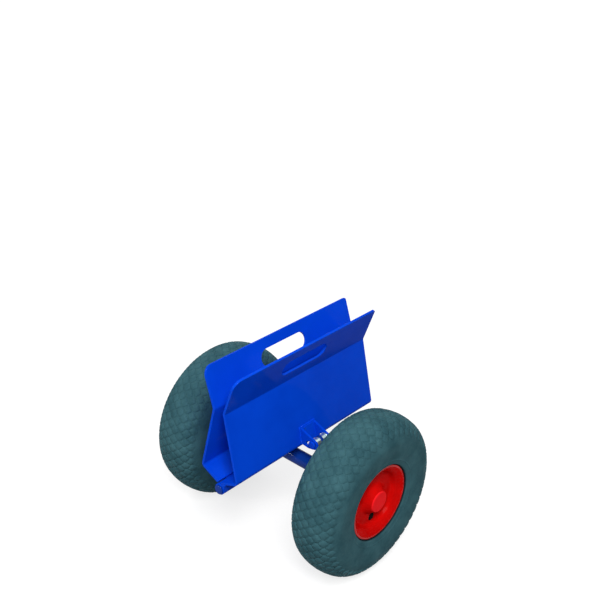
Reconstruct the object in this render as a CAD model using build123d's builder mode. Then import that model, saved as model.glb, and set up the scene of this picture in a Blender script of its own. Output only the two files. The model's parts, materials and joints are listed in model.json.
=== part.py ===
from build123d import *
import os
from math import asin, atan2, cos, degrees, radians, sin, sqrt, tan

# Two-wheeled dolly that grips a panel on edge. Millimetres, +Z up.
# The origin lies on the floor below the middle of the axle. X runs along the jaws, which is the
# way the dolly rolls, and Y runs along the axle. The near side is -Y and the left end is -X.
# A rigid axle carries two posts. Each jaw rocks on the pin of its own post, in a slotted bracket,
# and the two jaws are hinged together above the axle, so a panel's weight closes them.

near = -1
far = 1
left = -1
right = 1
side_names = {near: "near", far: "far"}
end_names = {left: "left", right: "right"}

# Clearances
running_fit = 0.05     # a shaft in its bore
press_gap = 0.05       # between pieces that are pressed together
seat_gap = 0.3         # between pieces that lie against each other but move
overrun = 2.0          # how far a cut runs past the surface it opens

# Wheels: moulded two-part rims with tyres that need no air
wheel_d = 260.0
tyre_w = 84.0
track = 288.0
crown_r = 70.0         # across the tread
crown_half_w = 20.0
bead_r = 63.0          # where the sidewall rolls in to the rim's lip
bead_half_w = 37.5
groove_w = 3.0
groove_depth = 2.4
groove_count = 30      # cross grooves round the tyre
groove_reach = 33.0    # how far the cross grooves run from the middle
tread_rib_half_w = 10.0  # from the middle to each round groove
rim_flange_d = 120.0
rim_seat_d = 100.0
rim_half_w = 34.5      # from the wheel's middle to the flange's face
rim_flange_t = 2.5
rim_seat_x = 24.0      # where the tyre's seat turns up into the flange
rim_lip_w = 2.6
rim_wall = 3.2
rim_web_t = 3.5
rim_web_x = 20.5       # from the wheel's middle to the web's outer face
rim_dish_x = 27.5      # where the dish's wall turns towards the web
rim_dish_d = 93.0
rim_web_d = 86.0
rim_seam = 0.2
rim_blend_r = 5.0      # where the web meets the dish's wall and the boss
boss_foot_d = 50.0
boss_d = 34.0
boss_x = 32.0          # outer end of the capped boss
hub_tube_d = 36.0
valve_hole_d = 13.0
valve_hole_r = 34.0    # from the wheel's centre
rib_count = 8          # on the inner half, behind the dish
rib_t = 2.6
rib_height = 5.0       # above the web
screw_circle_d = 72.0
screw_count = 4
screw_post_d = 10.0
screw_d = 5.0
screw_head_d = 9.5
screw_head_t = 3.2
screw_reach = 9.0      # past the seam, into the outer half
hub_length = 52.0
sleeve_d = 28.0
sleeve_bore_d = 26.0
cage_length = 20.0
cage_inset = 2.0       # from the sleeve's end to the cage
cage_bore_d = 21.0
cage_d = 25.4
roller_d = 2.9
roller_length = 16.0
roller_count = 10
cap_t = 2.2
cap_plug_t = 1.2
cap_plug_depth = 3.4
cap_edge_r = 1.8

# Axle: a tube with a bright stub axle pinned into each end
axle_tube_d = 24.0
axle_bore_d = 16.0
stub_d = 20.0
stub_engage = 60.0     # length of the turned-down end inside the tube
stub_chamfer = 1.0
cross_pin_d = 4.0
cross_pin_inset = 14.0
washer_d = 26.5
washer_t = 2.0
washer_play = 0.3
ring_d = 24.0
ring_t = 1.2
ring_depth = 1.0       # of the groove that holds the ring
ring_open_w = 7.0
stub_nose = 1.8        # of the stub axle beyond the ring

# Jaws: one bent steel plate each, seen here in section
jaw_length = 310.0
jaw_t = 4.0
floor_z = 152.0        # underside of the floor where the two jaws would meet
floor_slope = 24.0     # degrees
floor_tip_y = 4.0
corner_y = 38.0
fold_y = 12.0
fold_z = 278.6
flare_height = 63.0
flare_lean = 19.0      # degrees
bend_r = 4.0           # inside every bend
flare_left_corner_r = 15.0
flare_right_corner_r = 4.0
slot_length = 97.0
slot_height = 27.0
slot_up = 32.5         # from the fold up the flare to the slot's middle

# Hinge between the jaws, one at each end so that the axle passes between them
hinge_z = 144.0
knuckle_d = 18.0
knuckle_length = 19.5
knuckle_gap = 0.5
knuckle_pad_y = 10.0
hinge_pin_d = 10.0
hinge_pin_head_d = 15.0
hinge_pin_head_t = 2.2
hinge_pin_nose = 2.6
hinge_ring_d = 15.0
hinge_ring_t = 1.0
hinge_ring_depth = 0.8

# Pivots: a post on the axle for each jaw, and the jaw's slotted bracket that rocks on it
pivot_y = 58.0
pivot_z = 181.0
pivot_pin_d = 8.0
pivot_slot_play = 1.1  # of the slot over the pin's diameter
pivot_slot_end = 0.5   # spare length at each end of the slot
closing_angle = 3.2    # degrees, from rest until the folds nearly touch
opening_angle = 15.0   # degrees, from rest until the pin meets the slot's end
post_t = 5.0
post_eye_r = 8.0
post_foot_y = 60.0
post_foot_w = 28.0
bracket_gap = 26.0
bracket_t = 3.5
bracket_low_z = 173.0
bracket_high_z = 199.0
bracket_ear_wall = 3.0
spacer_d = 14.5
pivot_washer_d = 16.0
pivot_washer_t = 1.4
pivot_head_d = 13.0
pivot_head_t = 2.4
pivot_ring_d = 12.5
pivot_ring_t = 1.0
pivot_ring_depth = 0.7
pivot_nose = 2.4

# Worked out from the sizes above
wheel_r = wheel_d / 2
crown_edge_r = wheel_r - crown_r + sqrt(crown_r**2 - crown_half_w**2)
crown_share = crown_half_w / crown_r
shoulder_r = (tyre_w / 2 - crown_half_w) / (1 - crown_share)
shoulder_end_r = crown_edge_r - shoulder_r * sqrt(1 - crown_share**2)
hub_end = hub_length / 2
tube_end = hub_end + washer_play + washer_t + washer_play
tube_length = track - 2 * tube_end
corner_z = floor_z + corner_y * tan(radians(floor_slope))
plate_lean = degrees(atan2(corner_y - fold_y, fold_z - corner_z))
cheek_x = bracket_gap / 2 + bracket_t


def export(piece, name):
    piece.part.label = name
    export_step(piece.part, f"parts/{name}.step")


def wheel_section(side):
    """Plane through a wheel's axis: local x runs outboard and local y is the radius."""
    return Plane(origin=(0, side * track / 2, wheel_r), x_dir=(0, side, 0), z_dir=(side, 0, 0))


def wheel_face(side, outboard):
    """Plane square to a wheel's axis, facing outboard."""
    return Plane(origin=(0, side * (track / 2 + outboard), wheel_r), x_dir=(1, 0, 0), z_dir=(0, side, 0))


def wheel_axis(side):
    return Axis((0, side * track / 2, wheel_r), (0, side, 0))


def groove_planes(side):
    """Planes through the wheel's axis, one for each cross groove, with local y pointing out."""
    planes = []
    for step in range(groove_count):
        turn = radians(360 / groove_count * step)
        square = Vector(-side * cos(turn), 0, side * sin(turn))
        planes.append(Plane(origin=(0, side * track / 2, wheel_r), x_dir=(0, side, 0), z_dir=square))
    return planes


def crown_radius(across):
    """Radius of the tread at a distance from the wheel's middle, within the crown."""
    return wheel_r - crown_r + sqrt(crown_r**2 - across**2)


# Tyres: solid foamed rubber with a block tread: two round grooves and a set of cross grooves.
def make_tyre(side):
    lip_half_w = rim_half_w - rim_flange_t - seat_gap
    seat_half_w = rim_seat_x - seat_gap
    inner_r = rim_seat_d / 2 + seat_gap
    lip_r = rim_flange_d / 2 + seat_gap
    groove_in = tread_rib_half_w
    groove_out = tread_rib_half_w + groove_w
    floor_r = crown_radius(groove_out) - groove_depth
    with BuildPart() as tyre:
        with BuildSketch(wheel_section(side)):
            with BuildLine():
                rib = TangentArc((0, wheel_r), (groove_in, crown_radius(groove_in)), tangent=(1, 0))
                Polyline(
                    rib @ 1, (groove_in, floor_r), (groove_out, floor_r), (groove_out, crown_radius(groove_out))
                )
                crown = RadiusArc(
                    (groove_out, crown_radius(groove_out)), (crown_half_w, crown_edge_r), -crown_r
                )
                shoulder = TangentArc(crown @ 1, (tyre_w / 2, shoulder_end_r), tangent=crown % 1)
                wall = TangentArc(shoulder @ 1, (bead_half_w, bead_r), tangent=shoulder % 1)
                Polyline(
                    wall @ 1, (rim_half_w, lip_r), (lip_half_w, lip_r), (seat_half_w, inner_r), (0, inner_r)
                )
                mirror(about=Plane.YZ)
            make_face()
        revolve(axis=wheel_axis(side))
        reach_r = shoulder_end_r + sqrt(shoulder_r**2 - (groove_reach - (tyre_w / 2 - shoulder_r)) ** 2)
        with BuildSketch(*groove_planes(side)):
            with BuildLine():
                floor = ThreePointArc(
                    (-groove_reach, reach_r - groove_depth), (0, wheel_r - groove_depth),
                    (groove_reach, reach_r - groove_depth),
                )
                open_r = wheel_r + overrun
                Polyline(floor @ 1, (groove_reach, open_r), (-groove_reach, open_r), floor @ 0)
            make_face()
        extrude(amount=groove_w / 2, both=True, mode=Mode.SUBTRACT)
    export(tyre, f"{side_names[side]}_tyre")


# Rims: two moulded halves screwed together round the hub sleeve. The outer half has a blind boss
# for the cap and the valve hole, and the screws go in from the inner half.
def make_rim_half(side, half):
    outer = half == 1
    boss_end = boss_x if outer else hub_end
    seam = rim_seam / 2
    seat_r = rim_seat_d / 2
    flange_r = rim_flange_d / 2
    web_back = rim_web_x - rim_web_t
    bore_r = sleeve_d / 2 + press_gap
    points = [
        (seam, seat_r), (rim_seat_x, seat_r), (rim_half_w - rim_flange_t, flange_r),
        (rim_half_w, flange_r), (rim_half_w, flange_r - rim_lip_w), (rim_dish_x, rim_dish_d / 2),
        (rim_web_x, rim_web_d / 2), (rim_web_x, boss_foot_d / 2), (boss_end, boss_d / 2), (boss_end, bore_r),
        (seam, bore_r), (seam, hub_tube_d / 2), (web_back, hub_tube_d / 2), (web_back, seat_r - rim_wall),
        (seam, seat_r - rim_wall),
    ]
    softened = {3: rim_flange_t / 3, 5: rim_wall, 6: rim_blend_r, 7: rim_blend_r, 8: rim_lip_w / 3}
    with BuildPart() as rim:
        with BuildSketch(wheel_section(side)) as profile:
            with BuildLine():
                Polyline(*[(half * x, y) for x, y in points], close=True)
            make_face()
            for index, radius in softened.items():
                x, y = points[index]
                fillet(profile.vertices().sort_by_distance((half * x, y))[0], radius=radius)
        revolve(axis=wheel_axis(side))
        with BuildSketch(wheel_face(side, half * seam)):
            with PolarLocations(screw_circle_d / 2, screw_count, start_angle=45):
                Circle(screw_post_d / 2)
        extrude(until=Until.NEXT, dir=(0, side * half, 0))
        hole_depth = rim_web_x + overrun
        with BuildSketch(wheel_face(side, 0)):
            with PolarLocations(screw_circle_d / 2, screw_count, start_angle=45):
                Circle(screw_d / 2 + press_gap)
        extrude(amount=half * (screw_reach + seat_gap if outer else hole_depth), mode=Mode.SUBTRACT)
        if not outer:
            rib_in = boss_d / 2 - rib_t / 2
            rib_out = rim_dish_d / 2 + rib_t / 2
            with BuildSketch(wheel_face(side, -rim_web_x)):
                with PolarLocations((rib_in + rib_out) / 2, rib_count, start_angle=180 / rib_count):
                    Rectangle(rib_out - rib_in, rib_t)
            extrude(amount=-rib_height)
        if outer:
            with BuildSketch(wheel_face(side, 0)):
                with Locations((0, side * valve_hole_r)):
                    Circle(valve_hole_d / 2)
            extrude(amount=hole_depth, mode=Mode.SUBTRACT)
    export(rim, f"{side_names[side]}_{'outer' if outer else 'inner'}_rim")


def make_rim_screws(side):
    head_face = -rim_web_x - seat_gap / 3
    with BuildPart() as screws:
        with BuildSketch(wheel_face(side, head_face)):
            with PolarLocations(screw_circle_d / 2, screw_count, start_angle=45):
                Circle(screw_d / 2)
        extrude(amount=screw_reach - head_face)
        with BuildSketch(wheel_face(side, head_face)):
            with PolarLocations(screw_circle_d / 2, screw_count, start_angle=45):
                Circle(screw_head_d / 2)
        extrude(amount=-screw_head_t)
        heads = screws.edges().filter_by(GeomType.CIRCLE).group_by(Axis.Y)[0 if side == far else -1]
        chamfer(heads, length=screw_head_t / 4)
    export(screws, f"{side_names[side]}_rim_screws")


# Hub: a steel sleeve in which two roller cages run on the stub axle, under a snap-in cap.
def make_hub(side):
    with BuildPart() as sleeve:
        with BuildSketch(wheel_face(side, -hub_end)):
            Circle(sleeve_d / 2)
            Circle(sleeve_bore_d / 2, mode=Mode.SUBTRACT)
        extrude(amount=hub_length)
    export(sleeve, f"{side_names[side]}_hub_sleeve")

    pitch_r = stub_d / 2 + running_fit + roller_d / 2
    for end, word in ((-1, "inner"), (1, "outer")):
        start = end * (hub_end - cage_inset - cage_length / 2) - cage_length / 2
        with BuildPart() as cage:
            with BuildSketch(wheel_face(side, start)):
                Circle(cage_d / 2)
                Circle(cage_bore_d / 2, mode=Mode.SUBTRACT)
            extrude(amount=cage_length)
            pocket_start = start + (cage_length - roller_length) / 2 - press_gap
            with BuildSketch(wheel_face(side, pocket_start)):
                with PolarLocations(pitch_r, roller_count):
                    Circle(roller_d / 2 + press_gap)
            extrude(amount=roller_length + 2 * press_gap, mode=Mode.SUBTRACT)
        export(cage, f"{side_names[side]}_{word}_roller_cage")
        with BuildPart() as rollers:
            with BuildSketch(wheel_face(side, pocket_start + press_gap)):
                with PolarLocations(pitch_r, roller_count):
                    Circle(roller_d / 2)
            extrude(amount=roller_length)
        export(rollers, f"{side_names[side]}_{word}_rollers")

    plug_r = sleeve_d / 2
    with BuildPart() as cap:
        with BuildSketch(wheel_face(side, boss_x)):
            Circle(boss_d / 2)
        extrude(amount=cap_t)
        outer_face = cap.faces().sort_by(Axis.Y)[-1 if side == far else 0]
        fillet(outer_face.edges(), radius=cap_edge_r)
        with BuildSketch(wheel_face(side, boss_x)):
            Circle(plug_r)
            Circle(plug_r - cap_plug_t, mode=Mode.SUBTRACT)
        extrude(amount=-cap_plug_depth)
    export(cap, f"{side_names[side]}_hub_cap")


# Axle: one tube from wheel to wheel, with a stub axle pinned into each end, a thrust washer on
# each side of the hub and an open ring in the stub's groove.
def make_axle():
    with BuildPart() as tube:
        with BuildSketch(Plane.XZ.offset(-tube_length / 2)):
            with Locations((0, wheel_r)):
                Circle(axle_tube_d / 2)
                Circle(axle_bore_d / 2, mode=Mode.SUBTRACT)
        extrude(amount=tube_length)
        with BuildSketch(Plane.YZ):
            with Locations(*[(side * (tube_length / 2 - cross_pin_inset), wheel_r) for side in (near, far)]):
                Circle(cross_pin_d / 2)
        extrude(amount=axle_tube_d, both=True, mode=Mode.SUBTRACT)
    export(tube, "axle_tube")

    with BuildPart() as cross_pins:
        with BuildSketch(Plane.YZ.offset(-axle_tube_d / 2)):
            with Locations(*[(side * (tube_length / 2 - cross_pin_inset), wheel_r) for side in (near, far)]):
                Circle(cross_pin_d / 2 - press_gap)
        extrude(amount=axle_tube_d)
    export(cross_pins, "axle_cross_pins")


def make_stub_axle(side):
    ring_start = hub_end + washer_play + washer_t + press_gap
    stub_end = ring_start + ring_t + stub_nose
    groove_r = stub_d / 2 - ring_depth
    with BuildPart() as stub:
        with BuildSketch(wheel_face(side, press_gap - tube_end)):
            Circle(stub_d / 2)
        extrude(amount=tube_end - press_gap + stub_end)
        with BuildSketch(wheel_face(side, -tube_end - stub_engage)):
            Circle(axle_bore_d / 2 - press_gap)
        extrude(amount=stub_engage + press_gap)
        ends = stub.edges().filter_by(GeomType.CIRCLE).group_by(Axis.Y)
        chamfer(ends[0], length=stub_chamfer)
        chamfer(ends[-1], length=stub_chamfer)
        with BuildSketch(wheel_face(side, ring_start - press_gap)):
            Circle(stub_d / 2 + overrun)
            Circle(groove_r, mode=Mode.SUBTRACT)
        extrude(amount=ring_t + 2 * press_gap, mode=Mode.SUBTRACT)
        with BuildSketch(Plane.YZ):
            with Locations((side * (tube_length / 2 - cross_pin_inset), wheel_r)):
                Circle(cross_pin_d / 2)
        extrude(amount=stub_d, both=True, mode=Mode.SUBTRACT)
    export(stub, f"{side_names[side]}_stub_axle")

    with BuildPart() as washers:
        for start in (-hub_end - washer_play - washer_t, hub_end + washer_play):
            with BuildSketch(wheel_face(side, start)):
                Circle(washer_d / 2)
                Circle(stub_d / 2 + running_fit, mode=Mode.SUBTRACT)
            extrude(amount=washer_t)
    export(washers, f"{side_names[side]}_thrust_washers")

    with BuildPart() as ring:
        with BuildSketch(wheel_face(side, ring_start)):
            Circle(ring_d / 2)
            Circle(groove_r + press_gap, mode=Mode.SUBTRACT)
            with Locations((0, -ring_d / 2)):
                Rectangle(ring_open_w, ring_d, mode=Mode.SUBTRACT)
        extrude(amount=ring_t)
    export(ring, f"{side_names[side]}_axle_ring")


def plate_outer_y(z):
    """Distance of the jaw plate's outer face from the middle plane, at a height."""
    return corner_y - (z - corner_z) * tan(radians(plate_lean))


def floor_under_z(y):
    return floor_z + y * tan(radians(floor_slope))


# Jaws: a floor that slopes down to the hinge, a plate that leans in to the fold, and a flared top
# with a hand slot, all bent from one sheet.
def make_jaw(side):
    lean = radians(flare_lean)
    top_y = fold_y + flare_height * sin(lean)
    top_z = fold_z + flare_height * cos(lean)
    section = [
        (side * floor_tip_y, floor_under_z(floor_tip_y)), (side * corner_y, corner_z),
        (side * fold_y, fold_z), (side * top_y, top_z),
    ]
    slot_y = fold_y + slot_up * sin(lean)
    slot_z = fold_z + slot_up * cos(lean)
    flare_plane = Plane(
        origin=(0, side * slot_y, slot_z), x_dir=(1, 0, 0), z_dir=(0, side * cos(lean), -sin(lean))
    )
    with BuildPart() as jaw:
        with BuildSketch(Plane.YZ):
            with BuildLine():
                FilletPolyline(*section, radius=[bend_r + jaw_t, bend_r])
                offset(amount=jaw_t, side=Side.RIGHT if side == near else Side.LEFT)
            make_face()
        extrude(amount=jaw_length / 2, both=True)
        with BuildSketch(flare_plane):
            SlotOverall(slot_length, slot_height)
        extrude(amount=jaw_t + overrun, both=True, mode=Mode.SUBTRACT)
        for corner_r, end in ((flare_left_corner_r, 0), (flare_right_corner_r, -1)):
            top_face = jaw.faces().sort_by(Axis.Z)[-1]
            corners = top_face.edges().sort_by(SortBy.LENGTH)[:2].sort_by(Axis.X)
            fillet(corners[end], radius=corner_r)
    export(jaw, f"{side_names[side]}_jaw")


# Hinge knuckles: short tubes welded under the floors. At each end of the dolly the near jaw has
# two of them and the far jaw has one between.
def knuckle_spans(side):
    pitch = knuckle_length + knuckle_gap
    steps = (0, 2) if side == near else (1,)
    spans = []
    for end in (left, right):
        for step in steps:
            start = jaw_length / 2 - step * pitch
            spans.append((end, start, start - knuckle_length))
    return spans


def make_knuckles(side):
    with BuildPart() as knuckles:
        for end, start, stop in knuckle_spans(side):
            with BuildSketch(Plane.YZ.offset(min(end * start, end * stop))):
                with Locations((0, hinge_z)):
                    Circle(knuckle_d / 2)
                Polygon(
                    (side * floor_tip_y / 4, hinge_z), (side * floor_tip_y, floor_under_z(floor_tip_y)),
                    (side * knuckle_pad_y, floor_under_z(knuckle_pad_y)), (side * knuckle_d / 2, hinge_z),
                    align=None,
                )
                with Locations((0, hinge_z)):
                    Circle(hinge_pin_d / 2 + running_fit, mode=Mode.SUBTRACT)
            extrude(amount=knuckle_length)
    export(knuckles, f"{side_names[side]}_knuckles")


def make_hinge_pin(end):
    span = 3 * knuckle_length + 2 * knuckle_gap
    outer = jaw_length / 2 + seat_gap
    ring_at = jaw_length / 2 - span - seat_gap - hinge_ring_t
    inner = ring_at - hinge_pin_nose
    plane = Plane(origin=(end * outer, 0, hinge_z), x_dir=(0, 1, 0), z_dir=(-end, 0, 0))
    with BuildPart() as pin:
        with BuildSketch(plane):
            Circle(hinge_pin_d / 2)
        extrude(amount=outer - inner)
        with BuildSketch(plane):
            Circle(hinge_pin_head_d / 2)
        extrude(amount=-hinge_pin_head_t)
        rims = pin.edges().filter_by(GeomType.CIRCLE).group_by(Axis.X)
        chamfer(rims[0], length=hinge_pin_head_t / 4)
        chamfer(rims[-1], length=hinge_pin_head_t / 4)
        with BuildSketch(plane.offset(outer - ring_at - hinge_ring_t - press_gap)):
            Circle(hinge_pin_d)
            Circle(hinge_pin_d / 2 - hinge_ring_depth, mode=Mode.SUBTRACT)
        extrude(amount=hinge_ring_t + 2 * press_gap, mode=Mode.SUBTRACT)
    export(pin, f"{end_names[end]}_hinge_pin")

    with BuildPart() as ring:
        with BuildSketch(plane.offset(outer - ring_at - hinge_ring_t)):
            Circle(hinge_ring_d / 2)
            Circle(hinge_pin_d / 2 - hinge_ring_depth + press_gap, mode=Mode.SUBTRACT)
            with Locations((0, -hinge_ring_d / 2)):
                Rectangle(hinge_pin_d / 2, hinge_ring_d, mode=Mode.SUBTRACT)
        extrude(amount=hinge_ring_t)
    export(ring, f"{end_names[end]}_hinge_ring")


def pin_in_jaw(turn_deg, lift):
    """Where the fixed pivot pin lies in the jaw's own section when the jaw has opened by an angle
    and the hinge has risen, as distance from the middle plane and height."""
    turn = radians(turn_deg)
    out = pivot_y
    up = pivot_z - hinge_z - lift
    return Vector(out * cos(turn) - up * sin(turn), hinge_z + out * sin(turn) + up * cos(turn))


# The hinge rises as the jaws open, in proportion to their angle.
full_lift = pivot_y * sin(radians(opening_angle)) + (pivot_z - hinge_z) * (1 - cos(radians(opening_angle)))
lift_per_degree = full_lift / opening_angle
slot_inner = pin_in_jaw(opening_angle, lift_per_degree * opening_angle)
slot_outer = pin_in_jaw(-closing_angle, -lift_per_degree * closing_angle)
slot_travel = (slot_outer - slot_inner).length
slot_tilt = degrees(atan2(slot_inner.Y - slot_outer.Y, slot_outer.X - slot_inner.X))
half_way = (opening_angle - closing_angle) / 2
slot_bow = pin_in_jaw(half_way, lift_per_degree * half_way)
slot_middle = ((slot_inner + slot_outer) / 2 + slot_bow) / 2


# Brackets: a pressed channel welded outside each jaw, its cheeks slotted for the pivot pin.
def make_bracket(side):
    slot_width = pivot_pin_d + pivot_slot_play
    slot_centres = slot_travel + 2 * pivot_slot_end
    low_y = plate_outer_y(bracket_low_z)
    high_y = plate_outer_y(bracket_high_z)
    strip = [
        (side * low_y, bracket_low_z), (side * high_y, bracket_high_z),
        (side * (high_y + bracket_t), bracket_high_z), (side * (low_y + bracket_t), bracket_low_z),
    ]
    middle = (side * slot_middle.X, slot_middle.Y)
    with BuildPart() as bracket:
        with BuildSketch(*[Plane.YZ.offset(x) for x in (-cheek_x, bracket_gap / 2)]):
            Polygon(*strip, align=None)
            with Locations(Location((*middle, 0), (0, 0, -side * slot_tilt))):
                SlotCenterToCenter(slot_centres, slot_width + 2 * bracket_ear_wall)
            make_hull()
            with Locations(Location((*middle, 0), (0, 0, -side * slot_tilt))):
                SlotCenterToCenter(slot_centres, slot_width, mode=Mode.SUBTRACT)
        extrude(amount=bracket_t)
        with BuildSketch(Plane.YZ.offset(-bracket_gap / 2)):
            Polygon(*strip, align=None)
        extrude(amount=bracket_gap)
    export(bracket, f"{side_names[side]}_bracket")


# Posts and pivots: a flat post on the axle tube holds the pin, with a spacer on each side of it.
def make_post(side):
    pin_place = (side * pivot_y, pivot_z)
    foot_top = wheel_r + axle_tube_d / 2 + post_t
    foot_end_y = post_foot_y + post_foot_w
    with BuildPart() as post:
        with BuildSketch(Plane.YZ.offset(-post_t / 2)):
            with Locations(pin_place):
                Circle(post_eye_r)
            Polygon(
                (side * post_foot_y, wheel_r), (side * foot_end_y, wheel_r),
                (side * foot_end_y, foot_top), (side * post_foot_y, foot_top), align=None,
            )
            make_hull()
            with Locations(pin_place):
                Circle(pivot_pin_d / 2 + press_gap, mode=Mode.SUBTRACT)
        extrude(amount=post_t)
        with BuildSketch(Plane.XZ.offset(-tube_length / 2)):
            with Locations((0, wheel_r)):
                Circle(axle_tube_d / 2 + press_gap)
        extrude(amount=tube_length, mode=Mode.SUBTRACT)
    export(post, f"{side_names[side]}_post")


def make_pivot(side):
    centre = (side * pivot_y, pivot_z)
    head_face = -cheek_x - seat_gap
    ring_start = cheek_x + seat_gap
    pin_end = ring_start + pivot_ring_t + pivot_nose
    groove_r = pivot_pin_d / 2 - pivot_ring_depth
    with BuildPart() as pin:
        with BuildSketch(Plane.YZ.offset(head_face)):
            with Locations(centre):
                Circle(pivot_pin_d / 2)
        extrude(amount=pin_end - head_face)
        with BuildSketch(Plane.YZ.offset(head_face)):
            with Locations(centre):
                Circle(pivot_head_d / 2)
        extrude(amount=-pivot_head_t)
        rims = pin.edges().filter_by(GeomType.CIRCLE).group_by(Axis.X)
        chamfer(rims[0], length=pivot_head_t / 3)
        chamfer(rims[-1], length=pivot_head_t / 3)
        with BuildSketch(Plane.YZ.offset(ring_start - press_gap)):
            with Locations(centre):
                Circle(pivot_pin_d)
                Circle(groove_r, mode=Mode.SUBTRACT)
        extrude(amount=pivot_ring_t + 2 * press_gap, mode=Mode.SUBTRACT)
    export(pin, f"{side_names[side]}_pivot_pin")

    with BuildPart() as ring:
        with BuildSketch(Plane.YZ.offset(ring_start)):
            with Locations(centre):
                Circle(pivot_ring_d / 2)
                Circle(groove_r + press_gap, mode=Mode.SUBTRACT)
            with Locations((side * pivot_y, pivot_z - pivot_ring_d / 2)):
                Rectangle(pivot_pin_d / 2, pivot_ring_d, mode=Mode.SUBTRACT)
        extrude(amount=pivot_ring_t)
    export(ring, f"{side_names[side]}_pivot_ring")

    washer_end = bracket_gap / 2 - seat_gap
    washer_start = washer_end - pivot_washer_t
    with BuildPart() as washers:
        for start in (-washer_end, washer_start):
            with BuildSketch(Plane.YZ.offset(start)):
                with Locations(centre):
                    Circle(pivot_washer_d / 2)
                    Circle(pivot_pin_d / 2 + press_gap, mode=Mode.SUBTRACT)
            extrude(amount=pivot_washer_t)
    export(washers, f"{side_names[side]}_pivot_washers")

    spacer_start = post_t / 2 + press_gap
    spacer_length = washer_start - press_gap - spacer_start
    with BuildPart() as spacers:
        for start in (-spacer_start - spacer_length, spacer_start):
            with BuildSketch(Plane.YZ.offset(start)):
                with Locations(centre):
                    Circle(spacer_d / 2)
                    Circle(pivot_pin_d / 2 + press_gap, mode=Mode.SUBTRACT)
            extrude(amount=spacer_length)
    export(spacers, f"{side_names[side]}_pivot_spacers")


os.makedirs("parts", exist_ok=True)
make_axle()
for end in (left, right):
    make_hinge_pin(end)
for side in (near, far):
    make_stub_axle(side)
    make_tyre(side)
    make_rim_half(side, 1)
    make_rim_half(side, -1)
    make_rim_screws(side)
    make_hub(side)
    make_jaw(side)
    make_knuckles(side)
    make_bracket(side)
    make_post(side)
    make_pivot(side)
print("hinge lift, mm per degree", round(lift_per_degree, 4))
print("slot travel", round(slot_travel, 3), "tilt", round(slot_tilt, 2))
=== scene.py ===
import json
from math import asin, cos, pi, radians, sin, sqrt

import bmesh
import bpy
from mathutils import Matrix, Vector

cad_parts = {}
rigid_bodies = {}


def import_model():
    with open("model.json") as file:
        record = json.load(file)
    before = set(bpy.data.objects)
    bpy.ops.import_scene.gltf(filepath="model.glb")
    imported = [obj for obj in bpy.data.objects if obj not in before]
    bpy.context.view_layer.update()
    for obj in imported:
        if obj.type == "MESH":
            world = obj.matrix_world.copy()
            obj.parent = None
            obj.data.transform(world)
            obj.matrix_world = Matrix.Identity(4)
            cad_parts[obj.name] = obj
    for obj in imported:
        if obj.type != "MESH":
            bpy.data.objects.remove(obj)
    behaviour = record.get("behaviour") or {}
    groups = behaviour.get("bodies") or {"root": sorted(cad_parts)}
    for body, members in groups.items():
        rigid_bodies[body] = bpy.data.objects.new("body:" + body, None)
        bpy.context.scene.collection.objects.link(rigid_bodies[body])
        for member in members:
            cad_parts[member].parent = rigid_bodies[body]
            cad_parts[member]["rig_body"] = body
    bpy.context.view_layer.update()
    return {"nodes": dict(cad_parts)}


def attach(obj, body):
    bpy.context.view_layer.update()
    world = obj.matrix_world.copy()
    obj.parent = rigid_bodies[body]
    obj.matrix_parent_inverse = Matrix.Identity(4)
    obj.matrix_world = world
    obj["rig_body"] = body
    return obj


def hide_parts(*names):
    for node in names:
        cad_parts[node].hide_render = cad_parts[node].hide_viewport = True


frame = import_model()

nodes = frame["nodes"]
scene = bpy.context.scene
scene.view_settings.view_transform = "Standard"

# The place from which the dolly is seen: in front of the near wheel and to the left, well above
# the jaws, with a moderately long lens.
camera_place = Vector((-0.9576, -0.8487, 1.0468))
camera_turn = radians(-48.781)
camera_dip = radians(26.808)
camera_roll = radians(1.779)
film_mm = 36
picture_px = 600
focal_px = 984.8
forward = Vector((-sin(camera_turn) * cos(camera_dip), cos(camera_turn) * cos(camera_dip),
                  -sin(camera_dip)))
level = Vector((cos(camera_turn), sin(camera_turn), 0))
upright = level.cross(forward)
rightward = level * cos(camera_roll) + upright * sin(camera_roll)
upward = upright * cos(camera_roll) - level * sin(camera_roll)
camera_data = bpy.data.cameras.new("camera")
camera_data.lens = film_mm * focal_px / picture_px
camera_data.clip_end = 50
camera = bpy.data.objects.new("camera", camera_data)
camera_frame = Matrix((rightward, upward, -forward)).transposed().to_4x4()
camera.matrix_world = Matrix.Translation(camera_place) @ camera_frame
scene.collection.objects.link(camera)
scene.camera = camera

# A pale floor and an even surround, which the camera, metal and glass see as white, while the light
# that they give the dolly stays low. One soft lamp hangs high above the near left, and two weaker
# ones light the far side and the left end.

def feed(tree, socket, value):
    """Gives a node's input a number or a colour, or links it to another node's output."""
    if isinstance(value, bpy.types.NodeSocket):
        tree.links.new(value, socket)
    else:
        socket.default_value = value


def math_node(tree, operation, first, second=0.0):
    """A Math node's result."""
    node = tree.nodes.new("ShaderNodeMath")
    node.operation = operation
    feed(tree, node.inputs[0], first)
    feed(tree, node.inputs[1], second)
    return node.outputs["Value"]


def span(tree, value, low, high, out_low, out_high):
    """A value mapped from low..high to out_low..out_high, and held between them."""
    node = tree.nodes.new("ShaderNodeMapRange")
    for label, given in (("Value", value), ("From Min", low), ("From Max", high),
                         ("To Min", out_low), ("To Max", out_high)):
        feed(tree, node.inputs[label], given)
    return node.outputs["Result"]


def seen_rays(tree):
    """1 for a ray from the camera, off metal or through glass, and 0 for light on a matt surface."""
    path = tree.nodes.new("ShaderNodeLightPath").outputs
    mirrored = math_node(tree, "MAXIMUM", path["Is Glossy Ray"], path["Is Transmission Ray"])
    return math_node(tree, "MAXIMUM", path["Is Camera Ray"], mirrored)


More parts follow.
